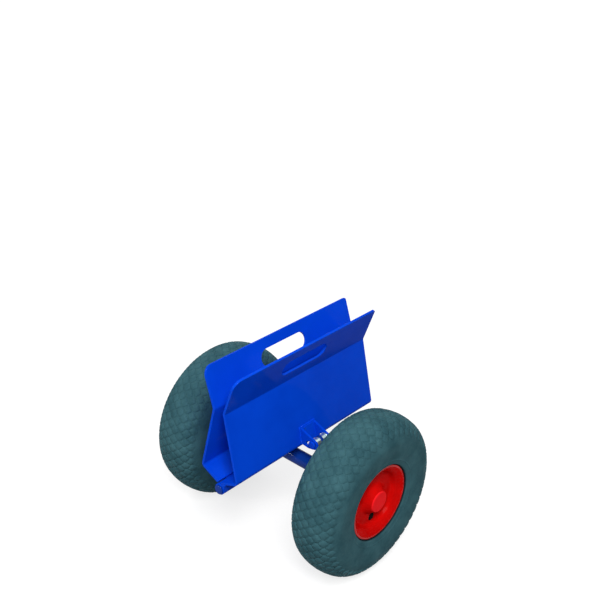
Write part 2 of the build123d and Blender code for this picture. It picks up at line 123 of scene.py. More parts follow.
surround_light = 0.2
world = bpy.data.worlds.new("surround")
world.use_nodes = True
scene.world = world
sky = world.node_tree
sky.nodes.clear()
sky_light = sky.nodes.new("ShaderNodeBackground")
sky_light.inputs["Color"].default_value = (1, 1, 1, 1)
sky.links.new(span(sky, seen_rays(sky), 0, 1, surround_light, 1), sky_light.inputs["Strength"])
sky_end = sky.nodes.new("ShaderNodeOutputWorld")
sky.links.new(sky_light.outputs["Background"], sky_end.inputs["Surface"])

floor_half = 12.0
floor_grey = 0.3
glow_from, glow_to = 0.5, 2.5
glow_at_dolly = 0.76
floor_mesh = bpy.data.meshes.new("floor")
floor_mesh.from_pydata(
    [(x * floor_half, y * floor_half, 0) for x, y in ((-1, -1), (1, -1), (1, 1), (-1, 1))],
    [], [(0, 1, 2, 3)])
floor = bpy.data.objects.new("floor", floor_mesh)
scene.collection.objects.link(floor)
floor_paint = bpy.data.materials.new("floor_white")
floor_paint.use_nodes = True
floor_tree = floor_paint.node_tree
floor_tree.nodes.clear()
floor_matt = floor_tree.nodes.new("ShaderNodeBsdfDiffuse")
floor_matt.inputs["Color"].default_value = (floor_grey, floor_grey, floor_grey, 1)
floor_place = floor_tree.nodes.new("ShaderNodeTexCoord")
floor_reach = floor_tree.nodes.new("ShaderNodeVectorMath")
floor_reach.operation = "LENGTH"
floor_tree.links.new(floor_place.outputs["Object"], floor_reach.inputs[0])
floor_fade = span(floor_tree, floor_reach.outputs["Value"], glow_from, glow_to, glow_at_dolly, 1)
floor_glow = floor_tree.nodes.new("ShaderNodeEmission")
floor_tree.links.new(math_node(floor_tree, "MULTIPLY", seen_rays(floor_tree), floor_fade),
                     floor_glow.inputs["Strength"])
floor_add = floor_tree.nodes.new("ShaderNodeAddShader")
floor_tree.links.new(floor_matt.outputs["BSDF"], floor_add.inputs[0])
floor_tree.links.new(floor_glow.outputs["Emission"], floor_add.inputs[1])
floor_end = floor_tree.nodes.new("ShaderNodeOutputMaterial")
floor_tree.links.new(floor_add.outputs["Shader"], floor_end.inputs["Surface"])
floor_mesh.materials.append(floor_paint)

dolly_middle = Vector((0, 0, 0.15))


def soft_lamp(name, place, size, power):
    """A square soft lamp that faces the dolly's middle."""
    data = bpy.data.lights.new(name, "AREA")
    data.size = size
    data.energy = power
    lamp = bpy.data.objects.new(name, data)
    lamp.location = place
    lamp.rotation_euler = (dolly_middle - Vector(place)).to_track_quat("-Z", "Y").to_euler()
    scene.collection.objects.link(lamp)


soft_lamp("lamp_high", (-1.3, -1.3, 2.3), size=1.0, power=79)
soft_lamp("lamp_back", (1.4, 1.8, 1.8), size=1.4, power=32)
soft_lamp("lamp_left", (-1.7, 1.0, 0.9), size=0.4, power=10)


# The axle tube, with its two posts. Steel tube and plate, welded together and powder coated blue.
# The coat is glossy, with a faint orange peel and slightly uneven colour.

def new_group(name, inputs, outputs):
    """A shader node group and its two end nodes; an input is a name, a type and a default."""
    group = bpy.data.node_groups.new(name, "ShaderNodeTree")
    for label, kind, default in inputs:
        socket = group.interface.new_socket(label, in_out="INPUT", socket_type=kind)
        if default is not None:
            socket.default_value = default
    for label, kind in outputs:
        group.interface.new_socket(label, in_out="OUTPUT", socket_type=kind)
    return group, group.nodes.new("NodeGroupInput"), group.nodes.new("NodeGroupOutput")


def noise_node(tree, vector, scale, detail=2.0):
    """Noise round 0.5."""
    node = tree.nodes.new("ShaderNodeTexNoise")
    for label, given in (("Vector", vector), ("Scale", scale), ("Detail", detail)):
        feed(tree, node.inputs[label], given)
    return node.outputs["Fac"]


def colour_mix(tree, share, first, second):
    """The first colour where the share is 0, and the second where it is 1. The Mix node has its
    colours in slots 6 and 7, and their mix in slot 2."""
    node = tree.nodes.new("ShaderNodeMix")
    node.data_type = "RGBA"
    for slot_number, given in ((0, share), (6, first), (7, second)):
        feed(tree, node.inputs[slot_number], given)
    return node.outputs[2]


finish_group, finish_in, finish_out = new_group(
    "uneven_finish",
    [("Vector", "NodeSocketVector", None), ("Deep", "NodeSocketColor", (0.2, 0.2, 0.2, 1)),
     ("Pale", "NodeSocketColor", (0.3, 0.3, 0.3, 1)), ("Cloud Scale", "NodeSocketFloat", 30),
     ("Smear Scale", "NodeSocketFloat", 70), ("Smooth", "NodeSocketFloat", 0.3),
     ("Dull", "NodeSocketFloat", 0.5), ("Grain Scale", "NodeSocketFloat", 600)],
    [("Colour", "NodeSocketColor"), ("Roughness", "NodeSocketFloat"),
     ("Height", "NodeSocketFloat")])
finish_given = finish_in.outputs
cloud_detail, smear_detail = 3, 4
cloud_low, cloud_high = 0.35, 0.65
smear_low, smear_high = 0.3, 0.7
cloud = noise_node(
    finish_group, finish_given["Vector"], finish_given["Cloud Scale"], cloud_detail)
smear = noise_node(
    finish_group, finish_given["Vector"], finish_given["Smear Scale"], smear_detail)
grain = noise_node(finish_group, finish_given["Vector"], finish_given["Grain Scale"])
finish_group.links.new(
    colour_mix(finish_group, span(finish_group, cloud, cloud_low, cloud_high, 0, 1),
               finish_given["Deep"], finish_given["Pale"]), finish_out.inputs["Colour"])
finish_group.links.new(
    span(finish_group, smear, smear_low, smear_high, finish_given["Smooth"],
         finish_given["Dull"]), finish_out.inputs["Roughness"])
finish_group.links.new(grain, finish_out.inputs["Height"])


def object_vector(tree):
    """A point's place in the object's own frame."""
    return tree.nodes.new("ShaderNodeTexCoord").outputs["Object"]


def uneven_material(name, deep, pale, cloud, smear, rough, grain, bump):
    """A material with clouds of two tones, smears from smooth to dull, and a fine grain. cloud,
    smear and grain are the scales of these, and bump is the grain's strength and depth."""
    material = bpy.data.materials.new(name)
    material.use_nodes = True
    tree = material.node_tree
    shader = tree.nodes["Principled BSDF"]
    finish = tree.nodes.new("ShaderNodeGroup")
    finish.node_tree = finish_group
    for label, value in (
            ("Vector", object_vector(tree)), ("Deep", (*deep, 1)), ("Pale", (*pale, 1)),
            ("Cloud Scale", cloud), ("Smear Scale", smear), ("Smooth", rough[0]),
            ("Dull", rough[1]), ("Grain Scale", grain)):
        feed(tree, finish.inputs[label], value)
    relief = tree.nodes.new("ShaderNodeBump")
    relief.inputs["Strength"].default_value = bump[0]
    relief.inputs["Distance"].default_value = bump[1]
    tree.links.new(finish.outputs["Height"], relief.inputs["Height"])
    tree.links.new(relief.outputs["Normal"], shader.inputs["Normal"])
    tree.links.new(finish.outputs["Colour"], shader.inputs["Base Color"])
    tree.links.new(finish.outputs["Roughness"], shader.inputs["Roughness"])
    return material, shader, finish, relief


def powder_coat(name, deep, pale, gloss):
    """Glossy powder coat, a little paler where it is thin."""
    coat, shader, *_ = uneven_material(
        name, deep, pale, cloud=16, smear=45, rough=(0.26, 0.4), grain=620, bump=(0.06, 0.0003))
    shader.inputs["IOR"].default_value = 1.02
    shader.inputs["Coat Weight"].default_value = gloss
    shader.inputs["Coat Roughness"].default_value = 0.12
    return coat


axle_blue = powder_coat("axle_blue", (0.0025, 0.030, 0.235), (0.004, 0.038, 0.285), gloss=0.2)
merge_gap = 2e-6
flat_turn = radians(0.6)
sharp_turn = radians(32)


def dressed(node, material, edge=0.0, segments=2):
    """A copy of a CAD node, merged, with smooth curves and eased edges, which replaces it."""
    source = nodes[node]
    mesh = source.data.copy()
    mesh.materials.clear()
    shape = bmesh.new()
    shape.from_mesh(mesh)
    bmesh.ops.remove_doubles(shape, verts=shape.verts, dist=merge_gap)
    bmesh.ops.dissolve_limit(shape, angle_limit=flat_turn, verts=shape.verts, edges=shape.edges)
    shape.to_mesh(mesh)
    shape.free()
    piece = bpy.data.objects.new(node + "_finish", mesh)
    scene.collection.objects.link(piece)
    mesh.materials.append(material)
    mesh.shade_smooth()
    mesh.set_sharp_from_angle(angle=sharp_turn)
    if edge > 0:
        bevel = piece.modifiers.new("eased", "BEVEL")
        bevel.width = edge
        bevel.segments = segments
        bevel.limit_method = "ANGLE"
        bevel.angle_limit = sharp_turn
        bevel.harden_normals = True
    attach(piece, source["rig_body"])
    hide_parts(node)
    return piece


def painted(node, material):
    """Gives a CAD node that keeps its shape a better material."""
    mesh = nodes[node].data
    mesh.materials.clear()
    mesh.materials.append(material)


def new_tree(name, inputs):
    """A Geometry Nodes tree with named inputs and one result, and its two end nodes."""
    tree = bpy.data.node_groups.new(name, "GeometryNodeTree")
    for label, kind in inputs:
        tree.interface.new_socket(label, in_out="INPUT", socket_type=kind)
    tree.interface.new_socket("Result", in_out="OUTPUT", socket_type="NodeSocketGeometry")
    return tree, tree.nodes.new("NodeGroupInput"), tree.nodes.new("NodeGroupOutput")


def tree_node(tree, kind, **settings):
    """A node with its settings made."""
    made = tree.nodes.new(kind)
    for key, value in settings.items():
        setattr(made, key, value)
    return made


def from_object(tree, socket):
    """The geometry of the object that a socket gives."""
    info = tree.nodes.new("GeometryNodeObjectInfo")
    tree.links.new(socket, info.inputs["Object"])
    return info.outputs["Geometry"]


def uneven_size(tree, unevenness, seed):
    """A random share round 1. The Random Value node has the limits of a plain number in slots 2
    and 3, and the number in slot 1."""
    size = tree.nodes.new("FunctionNodeRandomValue")
    tree.links.new(math_node(tree, "SUBTRACT", 1.0, unevenness), size.inputs[2])
    tree.links.new(math_node(tree, "ADD", 1.0, unevenness), size.inputs[3])
    size.inputs["Seed"].default_value = seed
    return size.outputs[1]


def end_tree(tree, start, stop, instances, material, plain=None):
    """Makes the instances real, joins a plain mesh to them and gives it all one material."""
    real = tree.nodes.new("GeometryNodeRealizeInstances")
    tree.links.new(instances, real.inputs["Geometry"])
    join = tree.nodes.new("GeometryNodeJoinGeometry")
    tree.links.new(real.outputs["Geometry"], join.inputs["Geometry"])
    if plain is not None:
        tree.links.new(start.outputs[plain], join.inputs["Geometry"])
    finish = tree.nodes.new("GeometryNodeSetMaterial")
    tree.links.new(join.outputs["Geometry"], finish.inputs["Geometry"])
    tree.links.new(start.outputs[material], finish.inputs["Material"])
    tree.links.new(finish.outputs["Geometry"], stop.inputs["Result"])


def set_inputs(modifier, tree, values):
    """Sets a Geometry Nodes modifier's inputs by their sockets' identifiers."""
    for item in tree.interface.items_tree:
        if item.in_out == "INPUT" and item.name in values:
            modifier[item.identifier] = values[item.name]


def settled(worked, name):
    """Turns an object with its modifiers into a plain mesh object and removes the first."""
    worked.update_tag()
    scene_state = bpy.context.evaluated_depsgraph_get()
    mesh = bpy.data.meshes.new_from_object(worked.evaluated_get(scene_state))
    mesh.name = name
    piece = bpy.data.objects.new(name, mesh)
    scene.collection.objects.link(piece)
    bpy.data.objects.remove(worked)
    return piece


def line_object(name, runs):
    """A curve object of straight runs, which only Geometry Nodes read."""
    data = bpy.data.curves.new(name, "CURVE")
    data.dimensions = "3D"
    for run in runs:
        line = data.splines.new("POLY")
        line.points.add(len(run) - 1)
        for point, place in zip(line.points, run):
            point.co = (*place, 1)
    made = bpy.data.objects.new(name, data)
    scene.collection.objects.link(made)
    return made


weld_seed = 3
weld_group, weld_in, weld_out = new_tree(
    "weld_bead", [("Carrier", "NodeSocketGeometry"), ("Line", "NodeSocketObject"),
                  ("Drop", "NodeSocketObject"), ("Spacing", "NodeSocketFloat"),
                  ("Unevenness", "NodeSocketFloat"), ("Coat", "NodeSocketMaterial")])
weld_link = weld_group.links.new
weld_steps = tree_node(weld_group, "GeometryNodeResampleCurve", mode="LENGTH")
weld_link(from_object(weld_group, weld_in.outputs["Line"]), weld_steps.inputs["Curve"])
weld_link(weld_in.outputs["Spacing"], weld_steps.inputs["Length"])
weld_turn = tree_node(weld_group, "FunctionNodeAlignRotationToVector", axis="X")
weld_tangent = tree_node(weld_group, "GeometryNodeInputTangent")
weld_link(weld_tangent.outputs["Tangent"], weld_turn.inputs["Vector"])
weld_size = uneven_size(weld_group, weld_in.outputs["Unevenness"], weld_seed)
weld_drops = tree_node(weld_group, "GeometryNodeInstanceOnPoints")
weld_link(weld_steps.outputs["Curve"], weld_drops.inputs["Points"])
weld_link(from_object(weld_group, weld_in.outputs["Drop"]), weld_drops.inputs["Instance"])
weld_link(weld_turn.outputs["Rotation"], weld_drops.inputs["Rotation"])
weld_link(weld_size, weld_drops.inputs["Scale"])
end_tree(weld_group, weld_in, weld_out, weld_drops.outputs["Instances"], "Coat")

weld_r = 0.0017
weld_spacing = 0.0014
weld_unevenness = 0.12
drop_segments, drop_rings = 8, 5
drop_squeeze = 0.75
drop_shape = bmesh.new()
bmesh.ops.create_uvsphere(
    drop_shape, u_segments=drop_segments, v_segments=drop_rings, radius=weld_r)
bmesh.ops.scale(drop_shape, vec=(drop_squeeze, 1, 1), verts=drop_shape.verts)
drop_shape.verts.index_update()
drop_points = [tuple(point.co) for point in drop_shape.verts]
# The sphere's faces come in a different order each run, so they are sorted.
drop_faces = sorted(tuple(point.index for point in face.verts) for face in drop_shape.faces)
drop_shape.free()
drop_mesh = bpy.data.meshes.new("weld_drop")
drop_mesh.from_pydata(drop_points, [], drop_faces)
drop_mesh.shade_smooth()
weld_drop = bpy.data.objects.new("weld_drop", drop_mesh)
scene.collection.objects.link(weld_drop)


def weld_bead(name, body, coat, runs):
    """A rippled weld bead along straight runs, under the coat of the pieces that it joins."""
    line = line_object(name + "_line", runs)
    carrier = bpy.data.objects.new(name + "_work", bpy.data.meshes.new(name + "_work"))
    scene.collection.objects.link(carrier)
    modifier = carrier.modifiers.new("weld", "NODES")
    modifier.node_group = weld_group
    set_inputs(modifier, weld_group, {
        "Line": line, "Drop": weld_drop, "Spacing": weld_spacing, "Unevenness": weld_unevenness,
        "Coat": coat})
    bead = settled(carrier, name)
    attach(bead, body)
    bpy.data.objects.remove(line)


dressed("axle_tube", axle_blue, edge=0.0006)
tube_top_z = 0.1420
foot_x = 0.0032
foot_inner_y, foot_outer_y = 0.0605, 0.0875
foot_runs = []
for side, sign in (("near", -1), ("far", 1)):
    dressed(side + "_post", axle_blue, edge=0.0005)
    for x in (-foot_x, foot_x):
        foot_runs.append([(x, sign * y, tube_top_z) for y in (foot_inner_y, foot_outer_y)])
weld_bead("post_welds", "chassis", axle_blue, foot_runs)

# The jaws: bent steel plates, each with a bracket and hinge knuckles welded on in fine beads,
# powder coated a clear glossy blue after welding. Their cut edges are eased.
jaw_blue = powder_coat("jaw_blue", (0.0008, 0.052, 0.59), (0.0012, 0.061, 0.66), gloss=0.05)
plate_y, plate_z, plate_slope = 0.0384, 0.16892, 0.23705
bracket_x = 0.0167
bracket_low_z, bracket_top_z = 0.1738, 0.1995
knuckle_x = {"near": (0.0960, 0.1360), "far": (0.1160,)}
knuckle_y, knuckle_z, knuckle_length = 0.0106, 0.1560, 0.0185
for side, sign in (("near", -1), ("far", 1)):
    dressed(side + "_jaw", jaw_blue, edge=0.0005)
    dressed(side + "_knuckles", jaw_blue, edge=0.0005)
    dressed(side + "_bracket", jaw_blue, edge=0.0008, segments=3)
    corners = ((-bracket_x, bracket_low_z), (-bracket_x, bracket_top_z),
               (bracket_x, bracket_top_z), (bracket_x, bracket_low_z))
    runs = [[(x, sign * (plate_y - (z - plate_z) * plate_slope), z) for x, z in corners]]
    for end in (-1, 1):
        for start in knuckle_x[side]:
            runs.append([(end * x, sign * knuckle_y, knuckle_z)
                         for x in (start, start + knuckle_length)])
    weld_bead(side + "_jaw_welds", side + "_jaw", jaw_blue, runs)

# The bright pieces: stub axles, pins, rings and washers, turned from steel, some of them zinc
# plated, with a fine grain and a faint bluish cloud in the plating. The hinge pins, and the heads
# of the pivot pins, are coated blue with the pieces that they hold.
zinc, zinc_shader, *_ = uneven_material(
    "bright_zinc", (0.53, 0.68, 0.69), (0.61, 0.74, 0.74), cloud=90, smear=300, rough=(0.22, 0.4),
    grain=900, bump=(0.1, 0.0003))
zinc_shader.inputs["Metallic"].default_value = 0.85
steel, steel_shader, *_ = uneven_material(
    "ground_steel", (0.48, 0.48, 0.49), (0.54, 0.55, 0.56), cloud=120, smear=500,
    rough=(0.25, 0.45), grain=1400, bump=(0.1, 0.0002))
steel_shader.inputs["Metallic"].default_value = 1.0
turned_edge = 0.0002
painted_head_x = -0.0166
for side in ("near", "far"):
    for word in ("pivot_washers", "pivot_spacers", "thrust_washers"):
        dressed(f"{side}_{word}", zinc, turned_edge)
    pin = dressed(f"{side}_pivot_pin", zinc, turned_edge)
    pin.data.materials.append(jaw_blue)
    for face in pin.data.polygons:
        if face.center.x < painted_head_x:
            face.material_index = 1
    for word in ("pivot_ring", "axle_ring", "stub_axle"):
        dressed(f"{side}_{word}", steel)
    for word in ("hub_sleeve", "inner_rollers", "outer_rollers"):
        painted(f"{side}_{word}", steel)
    painted(f"{side}_rim_screws", zinc)
painted("axle_cross_pins", steel)
for end in ("left", "right"):
    dressed(f"{end}_hinge_pin", axle_blue, edge=0.0003)
    dressed(f"{end}_hinge_ring", steel)

# The rims: two moulded halves of glossy red plastic, with a satin cap over the hub. The mould
# leaves the surface slightly wavy, dust dulls it here and there, and the outer lip is glossier.
wheel_r = 0.130
rim_lip_r = 0.0573
lip_blend = 0.0005
plain_coat, lip_coat = 0.015, 0.35
ring_group, ring_in, ring_out = new_group(
    "axle_ring", [("Vector", "NodeSocketVector", None), ("Inner", "NodeSocketFloat", 0.05),
                  ("Outer", "NodeSocketFloat", 0.06)], [("Mask", "NodeSocketFloat")])
ring_place = ring_group.nodes.new("ShaderNodeSeparateXYZ")
ring_group.links.new(ring_in.outputs["Vector"], ring_place.inputs["Vector"])
above_axle = math_node(ring_group, "SUBTRACT", ring_place.outputs["Z"], wheel_r)
squares = [math_node(ring_group, "MULTIPLY", part, part)
           for part in (ring_place.outputs["X"], above_axle)]
axle_distance = math_node(ring_group, "SQRT", math_node(ring_group, "ADD", *squares))
ring_group.links.new(
    span(ring_group, axle_distance, ring_in.outputs["Inner"], ring_in.outputs["Outer"], 0, 1),
    ring_out.inputs["Mask"])


def ring_mask(tree, inner, outer):
    """0 within the inner distance from the axle's line, and 1 beyond the outer one."""
    ring = tree.nodes.new("ShaderNodeGroup")
    ring.node_tree = ring_group
    for label, value in (("Vector", object_vector(tree)), ("Inner", inner), ("Outer", outer)):
        feed(tree, ring.inputs[label], value)
    return ring.outputs["Mask"]


def red_plastic(name, deep, pale, rough):
    """Moulded red plastic under a thin gloss."""
    plastic, shader, *_ = uneven_material(
        name, deep, pale, cloud=30, smear=70, rough=rough, grain=180, bump=(0.08, 0.0006))
    shader.inputs["IOR"].default_value = 1.03
    shader.inputs["Coat Weight"].default_value = plain_coat
    shader.inputs["Coat Roughness"].default_value = 0.15
    return plastic, shader


rim_red, rim_shader = red_plastic("rim_red", (0.50, 0.0022, 0.0018), (0.64, 0.0035, 0.0028),
                                  rough=(0.2, 0.32))
rim_tree = rim_red.node_tree
rim_lip = ring_mask(rim_tree, rim_lip_r - lip_blend, rim_lip_r)
rim_tree.links.new(span(rim_tree, rim_lip, 0, 1, plain_coat, lip_coat),
                   rim_shader.inputs["Coat Weight"])
cap_red, _ = red_plastic("cap_red", (0.84, 0.012, 0.016), (0.93, 0.015, 0.019),
                         rough=(0.34, 0.46))
for side in ("near", "far"):
    dressed(side + "_outer_rim", rim_red)
    dressed(side + "_inner_rim", rim_red)
    dressed(side + "_hub_cap", cap_red)

# The bung in each valve hole: moulded black rubber, pushed in from the outside. Its dome stands
# a little out of the dish, inside a plain rim.
bung_black, bung_shader, *_ = uneven_material(
    "bung_rubber", (0.0048, 0.003, 0.003), (0.0062, 0.004, 0.004), cloud=240, smear=300,
    rough=(0.55, 0.65), grain=900, bump=(0.2, 0.0002))
bung_shader.inputs["IOR"].default_value = 1.1
bung_profile = ((0.0, 0.1666), (0.0020, 0.1664), (0.0036, 0.1658), (0.0047, 0.1650),
                (0.0052, 0.1642), (0.0056, 0.1645), (0.0063, 0.1643), (0.0063, 0.1620),
                (0.0, 0.1620))
bung_turns = 28
bung_sharp_turn = radians(45)
valve_z = 0.096
for side, sign in (("near", -1), ("far", 1)):
    shape = bmesh.new()
    rings = []
    for radius, out_y in bung_profile:
        turns = [2 * pi * step / bung_turns for step in range(bung_turns if radius else 1)]
        rings.append([shape.verts.new((radius * sin(turn), sign * out_y,
                                       valve_z + radius * cos(turn))) for turn in turns])
    for here, there in zip(rings, rings[1:]):
        for step in range(bung_turns):
            after = (step + 1) % bung_turns
            around = (here[step % len(here)], here[after % len(here)],
                      there[after % len(there)], there[step % len(there)])
            shape.faces.new(list(dict.fromkeys(around)))
    bmesh.ops.recalc_face_normals(shape, faces=shape.faces)
    bung_mesh = bpy.data.meshes.new(side + "_valve_bung")
    shape.to_mesh(bung_mesh)
    shape.free()
    bung_mesh.materials.append(bung_black)
    bung_mesh.shade_smooth()
    bung_mesh.set_sharp_from_angle(angle=bung_sharp_turn)
    bung = bpy.data.objects.new(side + "_valve_bung", bung_mesh)
    scene.collection.objects.link(bung)
    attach(bung, side + "_wheel")

# The roller cages: plain moulded nylon in the hubs, hardly seen.
cage, *_ = uneven_material(
    "cage_nylon", (0.65, 0.63, 0.55), (0.67, 0.65, 0.57), cloud=60, smear=90, rough=(0.5, 0.6),
    grain=700, bump=(0.05, 0.0002))
for side in ("near", "far"):
    painted(side + "_inner_roller_cage", cage)
    painted(side + "_outer_roller_cage", cage)

# The tyres: solid foamed rubber, matt grey-green, with a tread of small lozenge blocks over crown
# and shoulders, and smooth walls with two moulded rings. They are never pumped up.
track = 0.288
tyre_half_w = 0.042
crown_r = 0.070
crown_half_w = 0.020
crown_turn = asin(crown_half_w / crown_r)
crown_edge_r = wheel_r - crown_r + sqrt(crown_r**2 - crown_half_w**2)
shoulder_r = (tyre_half_w - crown_half_w) / (1 - crown_half_w / crown_r)
shoulder_end_r = crown_edge_r - shoulder_r * sqrt(1 - (crown_half_w / crown_r)**2)
bead_half_w = 0.0375
bead_r = 0.063
bead_points = [(0.0362, 0.0617), (0.0340, 0.0609), (0.0317, 0.0603), (0.0237, 0.0503)]
wall_rings = ((0.0955, 0.0005, 0.0011), (0.0700, 0.0006, 0.0010))
crown_steps, shoulder_steps, wall_steps, round_steps = 6, 12, 40, 160
run_out_steps = 4
tyre_sharp_turn = radians(40)
tread_columns, tread_rows = 52, 9
row_pitch = 0.0102
tread_unevenness = 0.07
askew_seed, round_seed, across_seed = 11, 7, 5
block_height, block_top_gap, block_gap = 0.0012, 0.0002, 0.0017
block_foot, block_flare, block_wall_share = 0.0008, 0.0003, 0.62
block_ease, block_dome = 0.0005, 0.0001
block_bend, block_top_bend = 0.0012, 0.0011
block_sharp_turn = radians(50)
section_round_r = 0.052
# Painted shade: the rubber close to the rim's lip is coloured near-black, standing for the shadow in
# the gap between rim and tyre.
gap_shade_full_r, gap_shade_end_r = 0.0611, 0.0622
bead_gap_shade_tone = (0.004, 0.006, 0.009, 1)
fleck_tone = (0.055, 0.135, 0.150, 1)
fleck_scale, fleck_share = 260, 0.3
fleck_low, fleck_high = 0.45, 0.75
lump_scale, lump_height = 160, 1.5

rubber, rubber_shader, rubber_finish, rubber_relief = uneven_material(
    "foamed_rubber", (0.026, 0.079, 0.097), (0.041, 0.113, 0.134), cloud=38, smear=45,
    rough=(0.55, 0.75), grain=900, bump=(0.25, 0.0005))
rubber_shader.inputs["IOR"].default_value = 1.1
rubber_tree = rubber.node_tree
rubber_vector = object_vector(rubber_tree)
fleck_noise = noise_node(rubber_tree, rubber_vector, fleck_scale)
rubber_fleck = span(rubber_tree, fleck_noise, fleck_low, fleck_high, 0, fleck_share)
rubber_plain = colour_mix(rubber_tree, rubber_fleck, rubber_finish.outputs["Colour"], fleck_tone)
# Painted shade of the rim-tyre gap: near-black within the inner radius, fading to the plain rubber
# by the outer one.
bead_gap_shade = ring_mask(rubber_tree, gap_shade_full_r, gap_shade_end_r)
rubber_tree.links.new(colour_mix(rubber_tree, bead_gap_shade, bead_gap_shade_tone, rubber_plain),
                      rubber_shader.inputs["Base Color"])
lump_noise = noise_node(rubber_tree, rubber_vector, lump_scale)
lumps = math_node(rubber_tree, "MULTIPLY", lump_noise, lump_height)
rubber_tree.links.new(math_node(rubber_tree, "ADD", rubber_finish.outputs["Height"], lumps),
                      rubber_relief.inputs["Height"])


def tread_arc(lowered):
    """Half of the tread's section as (across, radius), from the middle to the wall, lowered by a
    depth that runs out beside the wall."""
    points = []
    for step in range(crown_steps + 1):
        turn = crown_turn * step / crown_steps
        reach = crown_r - lowered
        points.append((reach * sin(turn), wheel_r - crown_r + reach * cos(turn)))
    for step in range(1, shoulder_steps + 1):
        turn = crown_turn + (pi / 2 - crown_turn) * step / shoulder_steps
        reach = shoulder_r - lowered * min(1, (shoulder_steps - step) / run_out_steps)
        points.append((tyre_half_w - shoulder_r + reach * sin(turn),
                       shoulder_end_r + reach * cos(turn)))
    return points


def wall_line():
    """The wall's section below the shoulder, with its moulded rings, down to the bead."""
    drop = shoulder_end_r - bead_r
    inset = tyre_half_w - bead_half_w
    wall_r = (inset**2 + drop**2) / (2 * inset)
    points = []
    for step in range(1, wall_steps + 1):
        radius = shoulder_end_r - drop * step / wall_steps
        across = tyre_half_w - wall_r + sqrt(wall_r**2 - (shoulder_end_r - radius)**2)
        for ring_r, ring_rise, ring_half_w in wall_rings:
            off = abs(radius - ring_r) / ring_half_w
            if off < 1:
                across += ring_rise * (1 - off**2)
        points.append((min(across, tyre_half_w), radius))
    return points


def both_halves(half):
    """A whole section from the half that starts on its middle."""
    return [(-across, radius) for across, radius in reversed(half[1:])] + half


def turned_mesh(name, section, centre_y):
    """A closed section of (across, radius) turned round the wheel's axis."""
    count = len(section)
    points = []
    faces = []
    for turn_step in range(round_steps):
        turn = 2 * pi * turn_step / round_steps
        for across, radius in section:
            points.append((radius * sin(turn), centre_y + across, wheel_r + radius * cos(turn)))
        here = turn_step * count
        there = (turn_step + 1) % round_steps * count
        for step in range(count):
            after = (step + 1) % count
            faces.append((here + step, here + after, there + after, there + step))
    mesh = bpy.data.meshes.new(name)
    mesh.from_pydata(points, [], faces)
    shape = bmesh.new()
    shape.from_mesh(mesh)
    bmesh.ops.recalc_face_normals(shape, faces=shape.faces)
    shape.to_mesh(mesh)
    shape.free()
    mesh.shade_smooth()
    mesh.set_sharp_from_angle(angle=tyre_sharp_turn)
    return mesh


def lozenge(pitch_round, pitch_across, shrink, bend):
    """A block's outline: a lozenge with clipped sides, shrunk, with each corner rounded."""
    tall = (pitch_round**2 / 4 + pitch_across**2) / (2 * pitch_across)
    short = pitch_across / 2 - pitch_round**2 / (8 * pitch_across)
    wide = pitch_round / 2
    corners = [Vector((0, tall)), Vector((-wide, short)), Vector((-wide, -short)),
               Vector((0, -tall)), Vector((wide, -short)), Vector((wide, short))]
    lines = []
    for corner, after in zip(corners, corners[1:] + corners[:1]):
        along = (after - corner).normalized()
        inward = Vector((-along.y, along.x))
        lines.append((corner + inward * shrink, along))
    ring = []
    for (here, along), (there, onward) in zip(lines[-1:] + lines[:-1], lines):
        spread = along.x * -onward.y + onward.x * along.y
        step = ((there.x - here.x) * -onward.y + onward.x * (there.y - here.y)) / spread
        corner = here + along * step
        ring += [corner - along * bend, corner + (onward - along) * bend / 4,
                 corner + onward * bend]
    return ring


def block_mesh(pitch_round, pitch_across, gap, height):
    """One tread block, bent to the tyre, with eased upper edges and a slightly domed top."""
    points = []
    faces = []
    for shrink, bend, z in ((gap / 2 - block_flare, block_bend, -block_foot),
                            (gap / 2, block_bend, height * block_wall_share),
                            (gap / 2 + block_ease, block_top_bend, height)):
        for place in lozenge(pitch_round, pitch_across, shrink, bend):
            sag = place.x**2 / (2 * wheel_r) + place.y**2 / (2 * section_round_r)
            points.append((place.x, place.y, z - sag))
    count = len(points) // 3
    for low in (0, count):
        for step in range(count):
            after = (step + 1) % count
            faces.append((low + step, low + after, low + count + after, low + count + step))
    points.append((0, 0, height + block_dome))
    for step in range(count):
        faces.append((2 * count + step, 2 * count + (step + 1) % count, 3 * count))
    faces.append(tuple(reversed(range(count))))
    mesh = bpy.data.meshes.new("tread_block")
    mesh.from_pydata(points, [], faces)
    mesh.shade_smooth()
    mesh.set_sharp_from_angle(angle=block_sharp_turn)
    return mesh


